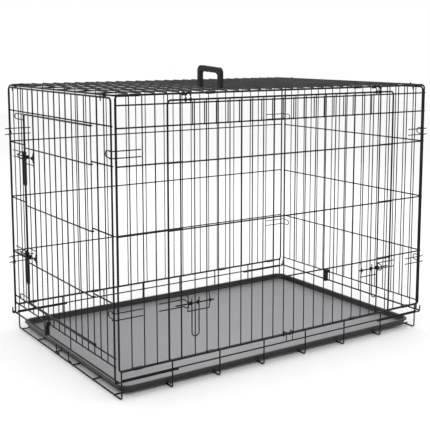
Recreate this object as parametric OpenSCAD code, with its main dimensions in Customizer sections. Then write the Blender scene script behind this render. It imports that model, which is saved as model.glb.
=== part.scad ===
// Folding wire dog crate with a wide side door, an end door, a base grid and a slide-out tray.
// X runs along the crate, the wide side door faces -Y, the end door faces -X, Z is up from the floor.
// Each flat panel is drawn in its own plane: u across, v up, w outwards, and then stood in place.

/* [Overall] */
// Length over the long side panels
crate_l = 1070; // [890:5:1290]
// Width over the frames of the long side panels
crate_w = 716; // [595:1:860]
// Height over the wires of the top panel
crate_h = 777.5; // [645:0.5:935]

/* [Wire] */
// Diameter of the rods that frame each panel
frame_d = 5; // [4.5:0.1:6]
// Diameter of the bars that run across the upright wires
bar_d = 4; // [3.5:0.1:4.4]
// Diameter of the upright wires
wire_d = 3; // [2.6:0.1:3.4]
// Spacing of the upright wires, which is then rounded to fit
wire_gap = 36.8; // [30:0.2:50]
// Height between the cross bars of a panel
row_step = 173.8; // [145:0.2:210]
// Radius of a frame rod's bends, at its centre line
bend_r = 10; // [8:0.5:14]
// Depth that two wires sink into each other at a weld
weld = 0.4; // [0.3:0.05:0.6]

/* [Side door] */
// Upright wire gaps from a corner to the doorway
side_gaps = 5; // [4:1:7]
// Distance that the door overlaps the doorway past one wire gap
door_over = 6; // [4:0.5:9]
// Drop from the top rod to the bar over the doorway
header_drop = 79.4; // [65:0.2:95]
// Drop from the top rod to the bar beside the door's top rod
strip_drop = 23.8; // [20:0.2:28]
// Distance from the panel's plane to the door's plane
door_out = 9; // [8.4:0.1:12]

/* [End panels] */
// Upright wire gaps from a corner to the end doorway
end_gaps = 3; // [2:1:4]
// Free space between an end panel and the base rods beside it
end_clear = 2.5; // [2.4:0.1:4]
// Height of the lowest wire, on which the end panel folds
pivot_z = 55; // [50:0.5:58]
// Height of the bar over that wire
low_bar_z = 87; // [84:0.5:92]
// Height of the end door's sill
sill_z = 110; // [104:0.5:120]
// Drop from the end panel's top wire to the bar over the end door
end_header_drop = 69.4; // [60:0.2:80]
// Free space round the end door's frame
end_door_gap = 1.6; // [1.2:0.1:2]

/* [Base] */
// Height of the long panels' lower rods
panel_z = 77.5; // [74:0.5:82]
// Spacing of the base's cross wires, which is then rounded to fit
cross_gap = 150; // [120:1:180]
// Number of long wires on the floor
floor_wires = 6; // [4:1:9]
// Distance from the end of a long panel to the first cross wire
cross_inset = 11; // [9:0.5:14]
// Length of the rods that carry the end panels
hook_l = 182; // [140:1:220]

/* [Tray] */
// Height of the tray's rim over its underside
tray_h = 21; // [16:0.5:26]
// Thickness of the tray
tray_t = 2.4; // [1.8:0.1:3.2]
// Radius of the tray's corners
tray_r = 34; // [24:1:45]
// Width of the flat rim
tray_rim = 9; // [6:0.5:12]

/* [Latches] */
// Drop from a door's cross bar to the bolt below it
latch_drop = 24; // [21:0.5:27]
// Diameter of the sliding bolts
bolt_d = 4; // [3.6:0.1:4.4]
// Distance that a bolt slides
bolt_throw = 33; // [30:0.5:33]
// Length of a bolt's hanging handle below the bolt
pull_l = 88; // [70:1:95]
// Free space round a bolt or a rod in its eye
eye_clear = 0.25; // [0.2:0.05:0.35]

/* [Handle] */
// Distance between the middles of the two feet
grip_w = 104; // [92:1:110]
// Height of the handle over the wire that it turns on
grip_h = 61; // [50:1:73]
// Fall of the grip from its high end to its low end
grip_fall = 5; // [0:0.5:10]
// Distance from the crate's middle to the middle of the handle, towards the door side
grip_y = 158; // [150:1:166]

/* [Hidden] */
$fn = 36;
e = 0.05;                                   // gap between touching pieces that are not fused
black = [0.06, 0.06, 0.065];
mid_y = 9;                                  // the latches stand out at the front only, so the frame sits back
// Long panels
side_u = crate_l / 2 - frame_d / 2;
side_y = crate_w / 2 - frame_d / 2;
rim_z = crate_h - wire_d - frame_d / 2 + weld;
top_wire_z = crate_h - wire_d / 2;
n_side = round(2 * side_u / wire_gap);
gap_s = 2 * side_u / n_side;
open_u = side_u - side_gaps * gap_s;
cut_u = open_u - bar_d / 2 - 0.5;
header_z = rim_z - header_drop;
strip_z = rim_z - strip_drop;
n_rows = floor((header_z - panel_z - row_step / 3) / row_step);
bar_w = (wire_d + bar_d) / 2 - weld;        // offset of a cross bar from the wires that it crosses
function side_wire(i) = -side_u + i * gap_s;
function row_z(k) = panel_z + k * row_step;
rows = [for (k = [1 : n_rows]) row_z(k)];
// Side door
door_u = open_u + gap_s + door_over;
door_top = strip_z + 8.3;
door_low = panel_z + 3;
// Base, whose rods run beside the lower rods of the long panels
rod_gap = 0.6;
base_y = side_y - frame_d / 2 - rod_gap - bar_d / 2;
cross_x = crate_l / 2 - cross_inset;
n_cross = round(2 * cross_x / cross_gap);
floor_z = bar_d / 2;
floor_top = 2 * bar_d - weld;
base_bend = 8;
function cross_wire_x(i) = -cross_x + i * 2 * cross_x / n_cross;
hook_y = base_y + bar_d + e;
hook_r = frame_d / 2 + 0.3 + bar_d / 2;     // the hook holds the lowest wire with 0.3 to spare
hem_z = pivot_z - hook_r + bar_d + e;
// End panels, just outside the ends of the long panels and narrower than the base
end_x = crate_l / 2 + frame_d / 2 + 1;
end_u = base_y - bar_d / 2 - end_clear - frame_d / 2;
end_top = rim_z - frame_d - 1;
n_end = 2 * round(end_u / wire_gap / 1.03);
gap_e = 2 * end_u / n_end;
open_e = end_u - end_gaps * gap_e;
cut_e = open_e - wire_d / 2 - 0.5;
end_header = end_top - end_header_drop;
end_door_u = open_e - wire_d / 2 - frame_d / 2 - end_door_gap - 0.6;
end_door_low = sill_z + bar_d / 2 + frame_d / 2 + end_door_gap;
end_door_top = end_header - bar_d / 2 - frame_d / 2 - end_door_gap;
door_row_drop = bar_d + 3;                  // the end door's bars run under those of the panel
function end_wire(i) = -end_u + i * gap_e;
// Top panel, whose long rods run beside the upper rods of the long panels
top_y = side_y - frame_d - rod_gap;
top_bar_z = top_wire_z - wire_d / 2 - bar_d / 2 + weld;
// Latches
side_bolt_w = door_out + bar_w + bar_d / 2 + 0.6 + bolt_d / 2;
end_bolt_w = bar_w + bar_d / 2 + 0.6 + bolt_d / 2;
side_bolt_z = row_z(1) - latch_drop;
end_bolt_z = [row_z(n_rows) - door_row_drop - latch_drop, row_z(1) - door_row_drop + latch_drop];
side_eye = -5;                              // eye of a keeper, measured from the doorway's edge wire
end_eye = 5;
side_guide = -12;                           // first guide of a bolt, measured from the same wire
end_guide = -16;
guide_span = 66;
keeper_l = 74;
keeper_r = 9.5;
latch_wire = 3;
thinner = 0.4;                              // a stem is this much thinner than the eye that it grows from
// Small wire forms
hang_d = 3;
lock_w = frame_d / 2 + wire_d / 2 + e;
lock_z = [rim_z - 143, row_z(1) - 27];
lock_pitch = 17.5;
tray_x = cross_x - 4;
tray_y = base_y - bar_d / 2 - 7;
tray_z = floor_top + 0.3;

// ---- shared shapes ----
// Straight rod from one point to another
module rod(a, b, d) {
    v = b - a;
    l = norm(v);
    translate(a) rotate([0, acos(v.z / l), atan2(v.y, v.x)]) cylinder(h = l, d = d);
}
// Ball that closes a sharp bend, a little thicker than the wire
module ball(p, d) translate(p) sphere(d = 1.06 * d);
// Arc of rod in the u-v plane round a centre, from one angle over a sweep
module arc(c, r, d, from, sweep)
    translate(c) rotate([0, 0, from]) rotate_extrude(angle = sweep) translate([r, 0]) circle(d = d);
// Arc in the v-w plane round a centre: angle 0 points along +w and 90 along +v
module arc_vw(c, r, d, from, sweep)
    translate(c) rotate([0, -90, 0]) rotate([0, 0, from])
        rotate_extrude(angle = sweep) translate([r, 0]) circle(d = d);
// Eye round an axis along u
module eye(c, r, d) translate(c) rotate([0, 90, 0]) rotate_extrude() translate([r, 0]) circle(d = d);
module upright(u, v0, v1, d, w = 0) rod([u, v0, w], [u, v1, w], d);
module level(v, u0, u1, d, w = 0) rod([u0, v, w], [u1, v, w], d);
// Closed rectangle of rod with rounded corners
module rod_loop(u, v0, v1, d, r) {
    for (s = [-1, 1]) upright(s * u, v0 + r, v1 - r, d);
    for (v = [v0, v1]) level(v, -u + r, u - r, d);
    for (s = [-1, 1], t = [-1, 1])
        arc([s * (u - r), t > 0 ? v1 - r : v0 + r, 0], r, d, s > 0 ? (t > 0 ? 0 : -90) : (t > 0 ? 90 : 180), 90);
}
// Places for drawing in the plane of each upright panel
module on_front() translate([0, mid_y - side_y, 0]) rotate([90, 0, 0]) children();
module on_back() translate([0, mid_y + side_y, 0]) rotate([90, 0, 180]) children();
module on_left() translate([-end_x, mid_y, 0]) rotate([90, 0, -90]) children();
module on_right() translate([end_x, mid_y, 0]) rotate([90, 0, 90]) children();
module flip() mirror([1, 0, 0]) children();

// ---- base ----
module base_floor_grid() color(black) translate([0, mid_y, 0]) {
    run = base_y - base_bend;
    for (i = [0 : n_cross]) rod([cross_wire_x(i), -run, floor_z], [cross_wire_x(i), run, floor_z], bar_d);
    for (k = [0 : floor_wires - 1]) {
        y = -(run - 26) + k * 2 * (run - 26) / (floor_wires - 1);
        rod([-cross_x - 5, y, floor_top - bar_d / 2], [cross_x + 5, y, floor_top - bar_d / 2], bar_d);
    }
}
// One long side of the base, seen in the plane of its uprights
module base_side() {
    for (i = [0 : n_cross]) {
        u = cross_wire_x(i);
        upright(u, floor_z + base_bend, panel_z, bar_d);
        arc_vw([u, floor_z + base_bend, -base_bend], base_bend, bar_d, 0, -90);
    }
    level(panel_z, -cross_x - 3, cross_x + 3, bar_d);
    level(hem_z, -cross_x - 3, cross_x + 3, bar_d, bar_d - weld);
}
module base_side_front() color(black) translate([0, side_y - base_y, 0]) on_front() base_side();
module base_side_back() color(black) translate([0, base_y - side_y, 0]) on_back() base_side();
// Two rods that carry the end panels, each ending in an upturned hook outside the end
module hook_rods() {
    z = pivot_z - hook_r;
    for (s = [0, 1]) mirror([s, 0, 0]) {
        level(z, crate_l / 2 + hook_r - hook_l, end_x, bar_d);
        arc([end_x, pivot_z, 0], hook_r, bar_d, -90, 90);
        upright(end_x + hook_r, pivot_z, pivot_z + 13, bar_d);
        ball([end_x + hook_r, pivot_z + 13, 0], bar_d);
    }
}
module hook_rods_front() color(black) translate([0, side_y - hook_y, 0]) on_front() hook_rods();
module hook_rods_back() color(black) translate([0, hook_y - side_y, 0]) on_back() hook_rods();

// ---- tray ----
module tray_outline(grow, h) linear_extrude(h) {
    r = tray_r + grow;
    square([2 * (tray_x + grow), 2 * (tray_y + grow - r)], center = true);
    square([2 * (tray_x + grow - r), 2 * (tray_y + grow)], center = true);
    for (s = [-1, 1], t = [-1, 1]) translate([s * (tray_x + grow - r), t * (tray_y + grow - r)]) circle(r, $fn = 64);
}
module floor_tray() color([0.2, 0.2, 0.21]) translate([0, mid_y, tray_z]) difference() {
    union() {
        tray_outline(-tray_rim, tray_h);
        translate([0, 0, tray_h - tray_t]) tray_outline(0, tray_t);
        translate([0, 0, tray_h - 2 * tray_t]) difference() {
            tray_outline(0, 2 * tray_t);
            translate([0, 0, -1]) tray_outline(-tray_t, 2 * tray_t + 2);
        }
    }
    translate([0, 0, tray_t]) tray_outline(-tray_rim - tray_t, tray_h);
}

// ---- long panels ----
// The part of a front panel between a corner and the doorway, on the +u side
module side_block() {
    upright(side_u, panel_z + bend_r, rim_z - bend_r, frame_d);
    arc([side_u - bend_r, rim_z - bend_r, 0], bend_r, frame_d, 0, 90);
    arc([side_u - bend_r, panel_z + bend_r, 0], bend_r, frame_d, -90, 90);
    for (v = [panel_z, rim_z]) level(v, cut_u, side_u - bend_r, frame_d);
    for (i = [1 : side_gaps - 1]) upright(side_u - i * gap_s, panel_z, rim_z, wire_d);
    upright(open_u, panel_z, rim_z, bar_d);
    for (v = concat(rows, [header_z, strip_z])) level(v, cut_u, side_u, bar_d, bar_w + weld / 2);
}
module front_panel_left() color(black) on_front() flip() side_block();
module front_panel_right() color(black) on_front() side_block();
module front_panel_header() color(black) on_front() {
    level(rim_z, -cut_u, cut_u, frame_d);
    for (v = [header_z, strip_z]) level(v, -cut_u, cut_u, bar_d, bar_w + weld / 2);
    for (i = [side_gaps + 1 : n_side - side_gaps - 1])
        upright(side_wire(i), header_z - bar_d / 2 - 1, strip_z + bar_d / 2 + 1, wire_d);
}
module front_panel_sill() color(black) on_front() level(panel_z, -cut_u, cut_u, frame_d);
module back_panel() color(black) on_back() {
    rod_loop(side_u, panel_z, rim_z, frame_d, bend_r);
    for (i = [1 : n_side - 1]) upright(side_wire(i), panel_z, rim_z, wire_d);
    for (v = rows) level(v, -side_u, side_u, bar_d, bar_w);
}
// Pairs of short wires that reach past each corner and toe in behind the end panels
module corner_locks() {
    in = 2 * gap_s - 6;
    out = 8;
    toe = 11;
    for (s = [0, 1], v = lock_z, k = [-1, 1]) mirror([s, 0, 0]) translate([0, v + k * lock_pitch / 2, lock_w]) {
        rod([side_u - in, 0, 0], [side_u + out, 0, 0], wire_d);
        rod([side_u + out, 0, 0], [side_u + out + toe * cos(35), 0, -toe * sin(35)], wire_d);
        ball([side_u + out, 0, 0], wire_d);
    }
}
module corner_locks_front() color(black) on_front() corner_locks();
module corner_locks_back() color(black) on_back() corner_locks();

// ---- top panel ----
module top_panel() color(black) translate([0, mid_y, 0]) {
    translate([0, 0, rim_z]) rod_loop(side_u, -top_y, top_y, frame_d, bend_r);
    for (i = [1 : n_side - 1])
        rod([side_wire(i), -top_y - 1, top_wire_z], [side_wire(i), top_y + 1, top_wire_z], wire_d);
    for (k = [1 : 5]) {
        y = -top_y + k * top_y / 3;
        rod([-side_u, y, top_bar_z], [side_u, y, top_bar_z], bar_d);
    }
}
// Sheet clip bent round two rods that lie side by side
module sheet_clip(l) {
    inner = frame_d / 2 + 0.2;
    reach = frame_d + rod_gap;
    rotate([0, 90, 0]) linear_extrude(l, center = true) difference() {
        for (g = [0, 1]) {
            if (g == 0) for (p = [0, -reach]) translate([0, p]) circle(inner + 1);
            else translate([-inner - 1, -reach]) square([2 * inner + 2, reach]);
        }
        for (p = [0, -reach]) translate([0, p]) circle(inner);
        translate([-inner, -reach]) square([2 * inner, reach]);
    }
}
// Clips fill the straight part of a wire gap, so that the corner ones clear the rods' bends
clip_l = gap_s - bend_r - wire_d / 2 - 2;
module clip_row(z, places) for (u = places, s = [-1, 1])
    translate([s * u, z, 0]) rotate([90, 0, 0]) sheet_clip(clip_l);
module top_clips() clip_row(rim_z, [side_u - bend_r - 1 - clip_l / 2, side_u - 1.5 * gap_s, side_u - 7.5 * gap_s]);
module bottom_clips() clip_row(panel_z, [side_u - 1.5 * gap_s, side_u - 7.5 * gap_s]);
module top_clips_front() color(black) on_front() top_clips();
module top_clips_back() color(black) on_back() top_clips();
module bottom_clips_front() color(black) on_front() bottom_clips();
module bottom_clips_back() color(black) on_back() bottom_clips();

// ---- end panels ----
// Upper corner, edge rod and outer wires of an end panel, on the +u side
module end_block() {
    upright(end_u, pivot_z, end_top - bend_r, frame_d);
    arc([end_u - bend_r, end_top - bend_r, 0], bend_r, frame_d, 0, 90);
    level(end_top, cut_e, end_u - bend_r, frame_d);
    level(pivot_z, cut_e, hook_y + bar_d / 2 + 2.5, frame_d);
    for (i = [1 : end_gaps]) upright(end_u - i * gap_e, low_bar_z, end_top, wire_d);
    for (v = concat(rows, [low_bar_z, sill_z, end_header])) level(v, cut_e, end_u, bar_d, -bar_w);
}
module left_end_front() color(black) on_left() end_block();
module left_end_back() color(black) on_left() flip() end_block();
module left_end_header() color(black) on_left() {
    level(end_top, -cut_e, cut_e, frame_d);
    level(end_header, -cut_e, cut_e, bar_d, -bar_w);
    for (i = [end_gaps + 1 : n_end - end_gaps - 1]) upright(end_wire(i), end_header - bar_d / 2 - 1, end_top, wire_d);
}
module left_end_sill() color(black) on_left() {
    level(pivot_z, -cut_e, cut_e, frame_d);
    for (v = [low_bar_z, sill_z]) level(v, -cut_e, cut_e, bar_d, -bar_w);
    for (i = [end_gaps + 1 : n_end - end_gaps - 1])
        upright(end_wire(i), abs(i - n_end / 2) == 2 ? pivot_z : low_bar_z, sill_z + bar_d / 2 + 1, wire_d);
}
module right_end_panel() color(black) on_right() {
    for (s = [0, 1]) mirror([s, 0, 0]) {
        upright(end_u, pivot_z, end_top - bend_r, frame_d);
        arc([end_u - bend_r, end_top - bend_r, 0], bend_r, frame_d, 0, 90);
    }
    level(end_top, -end_u + bend_r, end_u - bend_r, frame_d);
    level(pivot_z, -hook_y - bar_d / 2 - 2.5, hook_y + bar_d / 2 + 2.5, frame_d);
    for (i = [1 : n_end - 1]) upright(end_wire(i), abs(i - n_end / 2) == 2 ? pivot_z : low_bar_z, end_top, wire_d);
    for (v = concat(rows, [low_bar_z])) level(v, -end_u, end_u, bar_d, -bar_w);
}
// Small loops on the edge rods, level with the pairs of lock wires
module end_loops() for (s = [0, 1], v = lock_z) mirror([s, 0, 0]) translate([0, v, lock_w]) {
    r = lock_pitch / 2;
    for (k = [-1, 1]) rod([end_u - 14, k * r, 0], [end_u + 2, k * r, 0], wire_d);
    arc([end_u - 14, 0, 0], r, wire_d, 90, 180);
}
module left_end_loops() color(black) on_left() end_loops();
module right_end_loops() color(black) on_right() end_loops();
// Moulded clip that grips the two lowest wires of an end panel beside one upright
module end_clip(u, side) {
    fit = 0.2;
    deep = frame_d + 8;
    long = 22;
    difference() {
        union() {
            translate([u - 6, pivot_z - 5.5, -deep + 5]) cube([12, low_bar_z - pivot_z + 11, deep]);
            translate([side > 0 ? u - 6 : u + 6 - long, low_bar_z - 4.5, -deep + 5]) cube([long, 10, deep]);
        }
        translate([u - long - 9, pivot_z, 0]) rotate([0, 90, 0]) cylinder(h = 2 * long + 18, d = frame_d + 2 * fit);
        translate([u - long - 9, low_bar_z, -bar_w]) rotate([0, 90, 0]) cylinder(h = 2 * long + 18, d = bar_d + 2 * fit);
        translate([u - long - 9, pivot_z - frame_d / 4, 0]) cube([2 * long + 18, frame_d / 2, 9]);
    }
}
// Middle between the short upright that reaches the lowest wire and the one beside it
clip_u = end_wire(n_end / 2 + 2) + gap_e / 2;
module left_end_clip() color(black) on_left() end_clip(-clip_u, 1);
module right_end_clip() color(black) on_right() end_clip(clip_u, -1);
// Wire hooks on the top panel's end rods that stop the end panels from leaning outwards
module end_panel_hooks() color(black) translate([0, mid_y, 0])
    for (s = [0, 1], y = [-1, 1] * (end_u - 1.2 * gap_e)) mirror([s, 0, 0]) translate([0, y, 0]) {
        reach = end_x + frame_d / 2 + 0.6 + hang_d / 2;
        knee = rim_z + 0.2;
        r = frame_d / 2 + eye_clear + hang_d / 2;
        translate([side_u, 0, rim_z]) rotate([90, 0, 0]) rotate_extrude() translate([r, 0]) circle(d = hang_d);
        rod([side_u + r * cos(20), 0, rim_z + r * sin(20)], [reach, 0, knee], hang_d - thinner);
        rod([reach, 0, knee], [reach, 0, end_top - 8], hang_d);
        ball([reach, 0, knee], hang_d);
        ball([reach, 0, end_top - 8], hang_d);
    }

// ---- doors ----
module side_door() color(black) on_front() translate([0, 0, door_out]) {
    rod_loop(door_u, door_low, door_top, frame_d, bend_r);
    for (i = [side_gaps + 1 : n_side - side_gaps - 1]) upright(side_wire(i), door_low, door_top, wire_d);
    for (v = rows) level(v, -door_u, door_u, bar_d, bar_w);
}
// The end door's rods curl at one side round the doorway's edge wire, which is its hinge
module end_door() color(black) on_left() {
    curl_d = bar_d - thinner;
    curl = wire_d / 2 + 0.3 + curl_d / 2;
    upright(-end_door_u, end_door_low + bend_r, end_door_top - bend_r, frame_d);
    for (v = [end_door_low, end_door_top]) level(v, bend_r - end_door_u, open_e - curl, frame_d);
    arc([bend_r - end_door_u, end_door_top - bend_r, 0], bend_r, frame_d, 90, 90);
    arc([bend_r - end_door_u, end_door_low + bend_r, 0], bend_r, frame_d, 180, 90);
    for (i = [end_gaps + 1 : n_end - end_gaps - 1]) upright(end_wire(i), end_door_low, end_door_top, wire_d);
    for (v = rows) level(v - door_row_drop, -end_door_u, open_e - sqrt(curl * curl - bar_w * bar_w), bar_d, bar_w);
    for (v = concat([for (r = rows) r - door_row_drop], [end_door_low, end_door_top]))
        translate([open_e, v, 0]) rotate([90, 0, 0]) rotate_extrude() translate([curl, 0]) circle(d = curl_d);
}
// Loops at the free side of the end door that rest outside the doorway
module end_door_stops() color(black) on_left() {
    r = 8;
    w = frame_d / 2 + wire_d / 2 + e;
    for (v = [end_door_low + r, end_door_top - r]) translate([0, v, w]) {
        for (k = [-1, 1]) rod([-end_door_u + 4, k * r, 0], [-open_e - 48, k * r, 0], wire_d);
        arc([-open_e - 48, 0, 0], r, wire_d, 90, 180);
    }
}
// Wire hanger over the two top rods, with an eye each side round the door's top rod
module hanger(u) {
    r = frame_d / 2 + eye_clear + hang_d / 2;
    far = -frame_d - rod_gap;
    half = 7.5;
    foot = rim_z - 4.5;
    for (s = [-1, 1]) translate([u + s * half, 0, 0]) {
        eye([0, door_top, door_out], r, hang_d);
        rod([0, door_top + r * sin(60), door_out + r * cos(60)], [0, rim_z, r], hang_d);
        ball([0, rim_z, r], hang_d);
        arc_vw([0, rim_z, 0], r, hang_d, 0, 90);
        rod([0, rim_z + r, 0], [0, rim_z + r, far], hang_d);
        arc_vw([0, rim_z, far], r, hang_d, 90, 90);
        rod([0, rim_z, far - r], [0, foot, far - r], hang_d);
        ball([0, foot, far - r], hang_d);
    }
    rod([u - half, foot, far - r], [u + half, foot, far - r], hang_d);
}
hang_u = side_wire(n_side - side_gaps) - 0.5 * gap_s;
module side_door_hanger_left() color(black) on_front() flip() hanger(hang_u);
module side_door_hanger_right() color(black) on_front() hanger(hang_u);

// ---- slide bolts ----
// Each is drawn with t = 0 at the doorway's edge wire, +t towards the keeper, v = w = 0 on the bolt
// Keeper: a wire whose two legs lie on the panel and whose closed end stands out round the bolt
module keeper(eye_t, bolt_w) {
    low = wire_d / 2 + latch_wire / 2 + e + bar_d / 2 - wire_d / 2 - bolt_w;
    turn = 4;
    for (k = [-1, 1]) translate([0, k * keeper_r, 0]) {
        rod([eye_t + turn, 0, low], [eye_t + keeper_l, 0, low], latch_wire);
        translate([eye_t + turn, 0, low + turn]) rotate([90, 0, 0]) rotate([0, 0, 180])
            rotate_extrude(angle = 90) translate([turn, 0]) circle(d = latch_wire);
        rod([eye_t, 0, low + turn], [eye_t, 0, 0], latch_wire);
    }
    arc_vw([eye_t, 0, 0], keeper_r, latch_wire, -90, 180);
}
// Guides: two bent stems with eyes round the bolt, joined by a rod below
module guides(guide_t) {
    r = bolt_d / 2 + eye_clear + latch_wire / 2;
    back = -0.6 - bolt_d / 2;
    top_v = latch_drop - bar_d / 2 - latch_wire / 2 - e;
    low_v = -22;
    low_w = back - bar_d / 2 - bar_w + wire_d / 2 + latch_wire / 2 + e;
    for (t = [guide_t, guide_t - guide_span]) {
        eye([t, 0, 0], r, latch_wire);
        rod([t, r, 0], [t, top_v, back - bar_d / 2], latch_wire - thinner);
        ball([t, top_v, back - bar_d / 2], latch_wire);
        rod([t, -r, 0], [t, low_v, low_w], latch_wire - thinner);
        ball([t, low_v, low_w], latch_wire);
    }
    rod([guide_t, low_v, low_w], [guide_t - guide_span, low_v, low_w], latch_wire);
}
// Bolt: a plain rod with two collars that keep the pull in its place
module bolt(eye_t, guide_t) {
    tip = eye_t + bolt_throw - 2;
    tail = guide_t - guide_span - 12;
    rod([tail, 0, 0], [tip, 0, 0], bolt_d);
    ball([tip, 0, 0], bolt_d);
    for (t = [guide_t - 11, guide_t - 27]) translate([t, 0, 0]) rotate([0, 90, 0]) cylinder(h = 2, d = bolt_d + 2);
}
// Pull: a hairpin that hangs from the bolt by two eyes
module pull(guide_t) {
    d = 3.6;
    r = bolt_d / 2 + eye_clear + d / 2;
    t0 = guide_t - 7;
    half = 11;
    for (t = [t0, t0 - 2 * half]) {
        eye([t, 0, 0], r, d);
        rod([t, 14, r + thinner], [t, -pull_l + half, r + thinner], d - thinner);
        ball([t, 14, r + thinner], d - thinner);
    }
    arc([t0 - half, -pull_l + half, r + thinner], half, d - thinner, 180, 180);
}
module at_side_latch(s) on_front() mirror([s, 0, 0]) translate([open_u, side_bolt_z, side_bolt_w]) children();
module at_end_latch(k) on_left() flip() translate([open_e, end_bolt_z[k], end_bolt_w]) children();
module side_door_keepers() color(black) for (s = [0, 1]) at_side_latch(s) keeper(side_eye, side_bolt_w);
module end_door_keepers() color(black) for (k = [0, 1]) at_end_latch(k) keeper(end_eye, end_bolt_w);
module side_door_guides() color(black) for (s = [0, 1]) at_side_latch(s) guides(side_guide);
// The lower latch of the end door stands on its cross bar, the upper one hangs under its own
module end_door_guides() color(black) for (k = [0, 1]) at_end_latch(k) mirror([0, k, 0]) guides(end_guide);
module side_bolt_left() color(black) at_side_latch(1) bolt(side_eye, side_guide);
module side_bolt_right() color(black) at_side_latch(0) bolt(side_eye, side_guide);
module end_bolt_upper() color(black) at_end_latch(0) bolt(end_eye, end_guide);
module end_bolt_lower() color(black) at_end_latch(1) bolt(end_eye, end_guide);
module side_pull_left() color(black) at_side_latch(1) pull(side_guide);
module side_pull_right() color(black) at_side_latch(0) pull(side_guide);
module end_pull_upper() color(black) at_end_latch(0) pull(end_guide);
module end_pull_lower() color(black) at_end_latch(1) pull(end_guide);

// ---- small parts ----
// Wire clip that hooks under the sill rod and over the side door's bottom rod
module door_bottom_clip() color(black) on_front() translate([side_wire(floor(n_side / 2) + 0.5), panel_z, 0]) {
    d = 2.6;
    r = frame_d / 2 + 0.2 + (d + thinner) / 2;
    top = door_low - panel_z + frame_d / 2 + 5;
    out = door_out + frame_d / 2 + 3;
    for (s = [-1, 1]) {
        p = [[s * 11, 0, r], [s * 11, top, r], [s * 11, top, out], [s * 11, -16, out]];
        arc_vw([s * 11, 0, 0], r, d + thinner, -130, 130);
        translate(p[0]) rotate([90, 0, 0]) ball([0, 0, 0], d + thinner);
        for (i = [0 : len(p) - 2]) rod(p[i], p[i + 1], d);
        for (i = [1 : len(p) - 1]) translate(p[i]) rotate([90, 0, 0]) ball([0, 0, 0], d);
    }
    rod([-11, -16, out], [11, -16, out], d);
}
// Wire stop that turns on the base's end wire and stands in front of the tray
module tray_stop() color(black) translate([-cross_x, mid_y, floor_z]) {
    hook_d = hang_d + thinner;
    r = bar_d / 2 + eye_clear + hook_d / 2;
    stand = -3.2;
    z = tray_z + tray_h - floor_z + 5;
    ends = [51, -33];
    for (y = ends) {
        translate([0, y, 0]) rotate([90, 0, 0]) rotate([0, 0, -10]) rotate_extrude(angle = 100)
            translate([r, 0]) circle(d = hook_d);
        rod([0, y, r], [stand, y, r + 5], hang_d);
        rod([stand, y, r + 5], [stand, y, z], hang_d);
        for (p = [[stand, y, r + 5], [stand, y, z]]) ball(p, hang_d);
    }
    rod([stand, ends[0], z], [stand, 18, z], hang_d);
    rod([stand, 18, z], [stand, 9, z - 9], hang_d);
    rod([stand, 9, z - 9], [stand, 0, z], hang_d);
    rod([stand, 0, z], [stand, ends[1], z], hang_d);
    for (p = [[stand, 18, z], [stand, 9, z - 9], [stand, 0, z]]) ball(p, hang_d);
}
// Moulded handle that snaps on to one wire of the top panel and folds down along the crate
handle_x = side_wire(round(0.3690 * n_side));
module carry_handle() color(black) translate([handle_x, mid_y - grip_y, top_wire_z]) difference() {
    thick = 12;
    leg = 13;
    half = grip_w / 2;
    high = grip_h;
    low = grip_h - grip_fall;
    round_out = 17;
    union() {
        rotate([90, 0, 90]) linear_extrude(thick, center = true) difference() {
            union() {
                polygon([[-half - leg / 2, 0], [half + leg / 2, 0], [half + leg / 2, high - round_out],
                    [half + leg / 2 - round_out, high], [-half - leg / 2 + round_out, low],
                    [-half - leg / 2, low - round_out]]);
                translate([half + leg / 2 - round_out, high - round_out]) circle(round_out);
                translate([-half - leg / 2 + round_out, low - round_out]) circle(round_out);
            }
            polygon([[-half + leg / 2, -1], [half - leg / 2, -1], [half - leg / 2, high - leg - 9],
                [half - leg / 2 - 9, high - leg - 1], [-half + leg / 2 + 9, low - leg - 1],
                [-half + leg / 2, low - leg - 9]]);
        }
        for (s = [-1, 1]) translate([0, s * half, 0]) rotate([90, 0, 0]) cylinder(h = leg, r = 5.5, center = true);
        for (k = [-2 : 1]) translate([0, (k + 0.5) * 20, (high + low) / 2 - leg + (k + 0.5) * grip_fall / 5.4])
            rotate([0, 90, 0]) cylinder(h = thick, r = 4, center = true);
    }
    rotate([90, 0, 0]) cylinder(h = 2 * grip_w, d = wire_d + 0.4, center = true);
    translate([-1.1, -grip_w, -9]) cube([2.2, 2 * grip_w, 9]);
}

base_floor_grid();
base_side_front();
base_side_back();
hook_rods_front();
hook_rods_back();
floor_tray();
front_panel_left();
front_panel_right();
front_panel_header();
front_panel_sill();
back_panel();
top_panel();
left_end_front();
left_end_back();
left_end_header();
left_end_sill();
right_end_panel();
side_door();
end_door();
end_door_stops();
top_clips_front();
top_clips_back();
bottom_clips_front();
bottom_clips_back();
corner_locks_front();
corner_locks_back();
left_end_loops();
right_end_loops();
left_end_clip();
right_end_clip();
end_panel_hooks();
side_door_hanger_left();
side_door_hanger_right();
side_door_keepers();
end_door_keepers();
side_door_guides();
end_door_guides();
side_bolt_left();
side_bolt_right();
end_bolt_upper();
end_bolt_lower();
side_pull_left();
side_pull_right();
end_pull_upper();
end_pull_lower();
door_bottom_clip();
tray_stop();
carry_handle();
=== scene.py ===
import math

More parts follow.
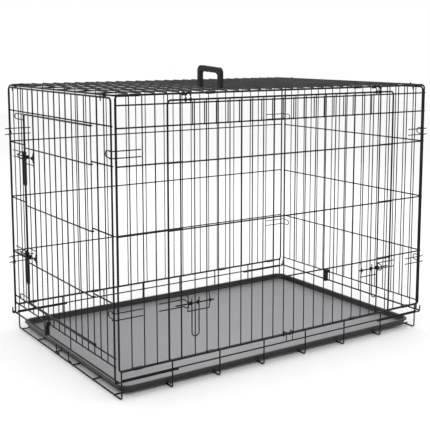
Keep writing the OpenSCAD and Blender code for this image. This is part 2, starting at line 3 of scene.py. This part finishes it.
import bmesh
import bpy
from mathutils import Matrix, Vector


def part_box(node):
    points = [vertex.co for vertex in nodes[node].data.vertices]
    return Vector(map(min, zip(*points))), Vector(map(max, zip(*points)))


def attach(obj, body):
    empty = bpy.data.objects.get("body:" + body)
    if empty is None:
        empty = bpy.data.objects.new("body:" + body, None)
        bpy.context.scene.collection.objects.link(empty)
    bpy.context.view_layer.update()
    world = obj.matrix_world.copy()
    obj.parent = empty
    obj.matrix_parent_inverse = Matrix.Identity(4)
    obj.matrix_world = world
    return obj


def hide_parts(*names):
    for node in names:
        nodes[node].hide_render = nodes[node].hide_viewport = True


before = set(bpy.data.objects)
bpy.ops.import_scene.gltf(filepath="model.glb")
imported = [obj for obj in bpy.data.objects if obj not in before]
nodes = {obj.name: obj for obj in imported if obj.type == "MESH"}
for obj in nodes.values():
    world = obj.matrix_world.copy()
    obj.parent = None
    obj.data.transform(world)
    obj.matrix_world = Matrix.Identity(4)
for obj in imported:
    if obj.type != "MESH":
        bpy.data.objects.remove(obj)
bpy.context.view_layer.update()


# ---- Studio ----
# The crate stands on a plain pale floor under even, soft light from a white room, with one large
# soft box over the door side and a smaller one behind, so that black wire keeps a thin highlight.

def linear(hex_code):
    """Linear colour, with alpha, of an sRGB hex value."""
    parts = [int(hex_code[i:i + 2], 16) / 255 for i in (1, 3, 5)]
    return [c / 12.92 if c <= 0.04045 else ((c + 0.055) / 1.055) ** 2.4 for c in parts] + [1.0]


def add(tree, kind, links=None, **settings):
    """Adds a node. links holds its inputs, each a value or a (node, output) to join to it."""
    node = tree.nodes.new(kind)
    for name, value in settings.items():
        setattr(node, name, value)
    for socket, value in (links or {}).items():
        if isinstance(value, tuple) and hasattr(value[0], "outputs"):
            tree.links.new(value[0].outputs[value[1]], node.inputs[socket])
        else:
            node.inputs[socket].default_value = value
    return node


def new_material(name):
    """A material with nothing but its output, and its node tree."""
    material = bpy.data.materials.new(name)
    material.use_nodes = True
    material.node_tree.nodes.clear()
    return material, material.node_tree


def noise(tree, vector, grain, detail):
    """Noise whose features are about this many metres across."""
    return add(tree, "ShaderNodeTexNoise", {"Vector": vector, "Scale": 1 / grain, "Detail": detail})


def blend(tree, factor, dark, pale):
    """A colour between two hex values. It comes out of the node's third output."""
    return add(tree, "ShaderNodeMix", {"Factor": factor, 6: linear(dark), 7: linear(pale)}, data_type="RGBA")


camera = bpy.data.objects.new("camera", bpy.data.cameras.new("camera"))
bpy.context.collection.objects.link(camera)
camera.location = (-1.4934, -2.2264, 0.8892)
camera.rotation_euler = (math.radians(90 - 7.63), 0, math.radians(-34.02))
camera.data.lens = 72.83
camera.data.shift_x = -0.0139
camera.data.shift_y = -0.1203
bpy.context.scene.camera = camera

studio_floor_mesh = bpy.data.meshes.new("studio_floor")
floor_build = bmesh.new()
bmesh.ops.create_grid(floor_build, x_segments=1, y_segments=1, size=9)
floor_build.to_mesh(studio_floor_mesh)
floor_build.free()
studio_floor = bpy.data.objects.new("studio_floor", studio_floor_mesh)
bpy.context.collection.objects.link(studio_floor)
studio_floor.location.z = -0.0005

paper, tree = new_material("matt white studio paper")
where = add(tree, "ShaderNodeTexCoord")
fibre = noise(tree, (where, "Object"), 0.4, 3.0)
tone = blend(tree, (fibre, "Fac"), "#F8F8F8", "#FCFCFC")
sheet = add(tree, "ShaderNodeBsdfPrincipled", {"Base Color": (tone, 2), "Roughness": 0.9})
add(tree, "ShaderNodeOutputMaterial", {"Surface": (sheet, "BSDF")})
studio_floor_mesh.materials.append(paper)

room = bpy.data.worlds.new("white room")
room.use_nodes = True
room.node_tree.nodes.clear()
glow = add(room.node_tree, "ShaderNodeBackground", {"Color": linear("#FFFFFF"), "Strength": 1.0})
add(room.node_tree, "ShaderNodeOutputWorld", {"Surface": (glow, "Background")})
bpy.context.scene.world = room
bpy.context.scene.view_settings.view_transform = "Standard"

for name, place, size, power in (
        ("soft box over the door side", (-1.6, -2.6, 2.6), 1.8, 32.0),
        ("soft box behind", (1.8, 2.2, 2.2), 1.4, 14.0)):
    lamp = bpy.data.objects.new(name, bpy.data.lights.new(name, "AREA"))
    bpy.context.collection.objects.link(lamp)
    lamp.data.size = size
    lamp.data.energy = power
    lamp.location = place
    lamp.rotation_euler = (-lamp.location).to_track_quat("-Z", "Y").to_euler()


# ---- Base, panels and doors ----
# Drawn steel wire, cut, bent and spot welded into flat grilles, then dipped whole in black e-coat.
# The baked film is even and satin, with a faint orange-peel ripple and slightly duller patches.

def wear_material(nodes_to_paint, material):
    """Puts the material on every slot of these CAD nodes."""
    for node_name in nodes_to_paint:
        for material_slot in nodes[node_name].material_slots:
            material_slot.material = material


mm = 0.001
peel = 1.6 * mm
patch = 70 * mm
ecoat_wire, tree = new_material("e-coated steel wire")
where = add(tree, "ShaderNodeTexCoord")
ripple = noise(tree, (where, "Object"), peel, 2.0)
patches = noise(tree, (where, "Object"), patch, 4.0)
film = blend(tree, (patches, "Fac"), "#060607", "#0E0E10")
sheen = add(tree, "ShaderNodeMapRange", {"Value": (patches, "Fac"), "From Min": 0.3, "From Max": 0.7,
                                         "To Min": 0.34, "To Max": 0.46})
relief = add(tree, "ShaderNodeBump", {"Height": (ripple, "Fac"), "Strength": 0.25, "Distance": 0.08 * mm})
coat = add(tree, "ShaderNodeBsdfPrincipled", {"Base Color": (film, 2), "Roughness": (sheen, "Result"),
                                              "Normal": (relief, "Normal"), "IOR": 1.5,
                                              "Specular IOR Level": 0.18})
add(tree, "ShaderNodeOutputMaterial", {"Surface": (coat, "BSDF")})
grille_names = ("base_", "hook_", "front_panel", "back_panel", "top_panel", "left_end", "right_end",
                "side_door", "end_door")
grilles = [name for name in nodes if name.startswith(grille_names)]
wear_material(grilles, ecoat_wire)


# ---- Small wire forms ----
# Lock wires, hooks, the tray's stop and the clip under the door are bent from thinner wire.
# They are tumbled before the dip, so their coat is a little glossier and rounder in its ripple.

formed_wire, tree = new_material("e-coated spring wire")
where = add(tree, "ShaderNodeTexCoord")
ripple = noise(tree, (where, "Object"), 1.2 * mm, 1.0)
patches = noise(tree, (where, "Object"), 25 * mm, 3.0)
film = blend(tree, (patches, "Fac"), "#050506", "#0D0D0F")
sheen = add(tree, "ShaderNodeMapRange", {"Value": (patches, "Fac"), "From Min": 0.3, "From Max": 0.7,
                                         "To Min": 0.22, "To Max": 0.36})
relief = add(tree, "ShaderNodeBump", {"Height": (ripple, "Fac"), "Strength": 0.2, "Distance": 0.06 * mm})
coat = add(tree, "ShaderNodeBsdfPrincipled", {"Base Color": (film, 2), "Roughness": (sheen, "Result"),
                                              "Normal": (relief, "Normal"), "IOR": 1.5,
                                              "Specular IOR Level": 0.18})
add(tree, "ShaderNodeOutputMaterial", {"Surface": (coat, "BSDF")})
formed_names = ("corner_locks", "end_panel_hooks", "tray_stop", "door_bottom_clip")
formed = [name for name in nodes if name.startswith(formed_names) or "hanger" in name or "loops" in name]
wear_material(formed, formed_wire)


# ---- Hinge clips ----
# Short strips of thin steel sheet, wrapped round two neighbouring rods so that the panels can fold.
# The rolled sheet is smoother than the wire, and its cut edges shine where the coat is thin.

clip_steel, tree = new_material("e-coated rolled sheet steel")
where = add(tree, "ShaderNodeTexCoord")
rolling = add(tree, "ShaderNodeMapping", {"Vector": (where, "Object"), "Scale": (1.0, 12.0, 12.0)})
lines = noise(tree, (rolling, "Vector"), 6 * mm, 3.0)
film = blend(tree, (lines, "Fac"), "#08080A", "#151517")
sheen = add(tree, "ShaderNodeMapRange", {"Value": (lines, "Fac"), "To Min": 0.24, "To Max": 0.40})
relief = add(tree, "ShaderNodeBump", {"Height": (lines, "Fac"), "Strength": 0.15, "Distance": 0.05 * mm})
coat = add(tree, "ShaderNodeBsdfPrincipled", {"Base Color": (film, 2), "Roughness": (sheen, "Result"),
                                              "Normal": (relief, "Normal"), "IOR": 1.5,
                                              "Specular IOR Level": 0.18})
add(tree, "ShaderNodeOutputMaterial", {"Surface": (coat, "BSDF")})
wear_material([name for name in nodes if "_clips_" in name], clip_steel)


# ---- Slide bolts and their pulls ----
# Straight steel rod and bent hairpins in the same coat. Sliding in the eyes rubs the coat thin,
# so faint grey steel shows in streaks along the rod.

rubbed, tree = new_material("e-coated steel rod, rubbed")
where = add(tree, "ShaderNodeTexCoord")
streak = add(tree, "ShaderNodeMapping", {"Vector": (where, "Object"), "Scale": (0.2, 1.0, 1.0)})
rub = noise(tree, (streak, "Vector"), 1.5 * mm, 4.0)
worn = add(tree, "ShaderNodeMapRange", {"Value": (rub, "Fac"), "From Min": 0.62, "From Max": 0.72,
                                        "To Min": 0.0, "To Max": 0.55})
film = blend(tree, (worn, "Result"), "#08080A", "#55565A")
sheen = add(tree, "ShaderNodeMapRange", {"Value": (rub, "Fac"), "To Min": 0.22, "To Max": 0.42})
coat = add(tree, "ShaderNodeBsdfPrincipled", {"Base Color": (film, 2), "Roughness": (sheen, "Result"),
                                              "Metallic": (worn, "Result"), "Specular IOR Level": 0.2})
add(tree, "ShaderNodeOutputMaterial", {"Surface": (coat, "BSDF")})
wear_material([name for name in nodes if "_bolt_" in name or "_pull_" in name], rubbed)


# ---- Tray ----
# One pan, moulded in black polypropylene, with drafted walls and a rolled rim. The walls and rim
# keep their satin black. The wide floor is the same black plastic, painted grey as a painted sheen for its
# shine at a low angle, with a faint scuffed tone.

tray_low, tray_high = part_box("floor_tray")
tray_corner = 34 * mm
# Each pair is an inset from the outer edge and a height, from under the rim round to the floor
tray_section = (
    (2.0, 16.5), (0.4, 16.2), (0.0, 17.2), (0.0, 19.4), (0.6, 20.5), (1.8, 21.0), (5.6, 21.0), (7.4, 20.6),
    (8.6, 19.4), (9.2, 17.6), (10.4, 7.0), (11.2, 4.4), (13.0, 3.0), (16.0, 2.4), (30.0, 2.4))
under_section = ((30.0, 0.0), (13.0, 0.0), (9.6, 1.4), (8.4, 5.0), (7.0, 16.4), (5.0, 18.6), (2.6, 18.4))
corner_steps = 8
painted_sheen_floor_rise = (2.3, 2.75)          # heights over the underside between which the floor with the painted sheen lies


def tray_ring(build, inset, height):
    """A loop of vertices round the tray at this inset and height, in millimetres."""
    half_x = (tray_high[0] - tray_low[0]) / 2 - inset * mm
    half_y = (tray_high[1] - tray_low[1]) / 2 - inset * mm
    middle = [(tray_low[i] + tray_high[i]) / 2 for i in (0, 1)]
    radius = max(tray_corner - inset * mm, 6 * mm)
    ring = []
    for quarter in range(4):
        sign_x = (1, -1, -1, 1)[quarter]
        sign_y = (1, 1, -1, -1)[quarter]
        for step in range(corner_steps + 1):
            angle = math.pi / 2 * (quarter + step / corner_steps)
            ring.append(build.verts.new((
                middle[0] + sign_x * (half_x - radius) + radius * math.cos(angle),
                middle[1] + sign_y * (half_y - radius) + radius * math.sin(angle),
                tray_low[2] + height * mm)))
    return ring


build = bmesh.new()
rings = [tray_ring(build, inset, height) for inset, height in tray_section + under_section]
for first, second in zip(rings, rings[1:] + rings[:1]):
    if first is rings[len(tray_section) - 1]:
        continue
    for i in range(len(first)):
        j = (i + 1) % len(first)
        build.faces.new((first[i], first[j], second[j], second[i]))
build.faces.new(rings[len(tray_section) - 1])
build.faces.new(list(reversed(rings[len(tray_section)])))
bmesh.ops.recalc_face_normals(build, faces=build.faces)
for face in build.faces:
    face.smooth = len(face.verts) == 4
    rise = (face.calc_center_median().z - tray_low[2]) / mm
    # Floor faces take the grey material, a painted sheen on the black pan
    face.material_index = 1 if painted_sheen_floor_rise[0] < rise < painted_sheen_floor_rise[1] else 0
tray_mesh = bpy.data.meshes.new("tray_moulding")
build.to_mesh(tray_mesh)
build.free()
tray_moulding = bpy.data.objects.new("tray_moulding", tray_mesh)
bpy.context.collection.objects.link(tray_moulding)

for name, dark, pale, low_gloss, high_gloss, scuff_depth in (
        ("moulded polypropylene", "#0B0B0C", "#151517", 0.26, 0.38, 0.02),
        # The floor's pale grey is a painted sheen for the black pan's low-angle reflection, varied by scuffs
        ("moulded polypropylene, scuffed floor with painted sheen", "#76767A", "#8B8B8F", 0.30, 0.44, 0.05)):
    tray_plastic, tree = new_material(name)
    where = add(tree, "ShaderNodeTexCoord")
    grain = noise(tree, (where, "Object"), 2.5 * mm, 3.0)
    drag = add(tree, "ShaderNodeMapping", {"Vector": (where, "Object"), "Scale": (0.35, 1.0, 1.0)})
    scuff = noise(tree, (drag, "Vector"), 90 * mm, 6.0)
    tint = blend(tree, (scuff, "Fac"), dark, pale)
    gloss = add(tree, "ShaderNodeMapRange", {"Value": (scuff, "Fac"), "From Min": 0.3, "From Max": 0.7,
                                             "To Min": low_gloss, "To Max": high_gloss})
    relief = add(tree, "ShaderNodeBump", {"Height": (grain, "Fac"), "Strength": 0.2,
                                          "Distance": scuff_depth * mm})
    pan = add(tree, "ShaderNodeBsdfPrincipled", {"Base Color": (tint, 2), "Roughness": (gloss, "Result"),
                                                 "Normal": (relief, "Normal"), "IOR": 1.49})
    add(tree, "ShaderNodeOutputMaterial", {"Surface": (pan, "BSDF")})
    tray_mesh.materials.append(tray_plastic)
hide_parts("floor_tray")
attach(tray_moulding, "tray")


# ---- Carry handle and end clips ----
# Solid black nylon mouldings that snap on to the wires. Their edges are rounded by the mould, and
# the spark-eroded skin gives a fine even grain that scatters the light.

moulded_nylon, tree = new_material("moulded nylon, spark-eroded skin")
where = add(tree, "ShaderNodeTexCoord")
skin = add(tree, "ShaderNodeTexVoronoi", {"Vector": (where, "Object"), "Scale": 1 / (0.9 * mm)})
flow = noise(tree, (where, "Object"), 18 * mm, 2.0)
tint = blend(tree, (flow, "Fac"), "#050506", "#0E0E0F")
gloss = add(tree, "ShaderNodeMapRange", {"Value": (skin, "Distance"), "To Min": 0.42, "To Max": 0.58})
relief = add(tree, "ShaderNodeBump", {"Height": (skin, "Distance"), "Strength": 0.25, "Distance": 0.06 * mm})
nylon = add(tree, "ShaderNodeBsdfPrincipled", {"Base Color": (tint, 2), "Roughness": (gloss, "Result"),
                                               "Normal": (relief, "Normal"), "IOR": 1.53,
                                               "Specular IOR Level": 0.25})
add(tree, "ShaderNodeOutputMaterial", {"Surface": (nylon, "BSDF")})
mouldings = ["carry_handle", "left_end_clip", "right_end_clip"]
wear_material(mouldings, moulded_nylon)
for name in mouldings:
    edge = nodes[name].modifiers.new("moulded edge", "BEVEL")
    edge.width = 0.9 * mm
    edge.segments = 3
    edge.limit_method = "ANGLE"
    edge.angle_limit = math.radians(50)
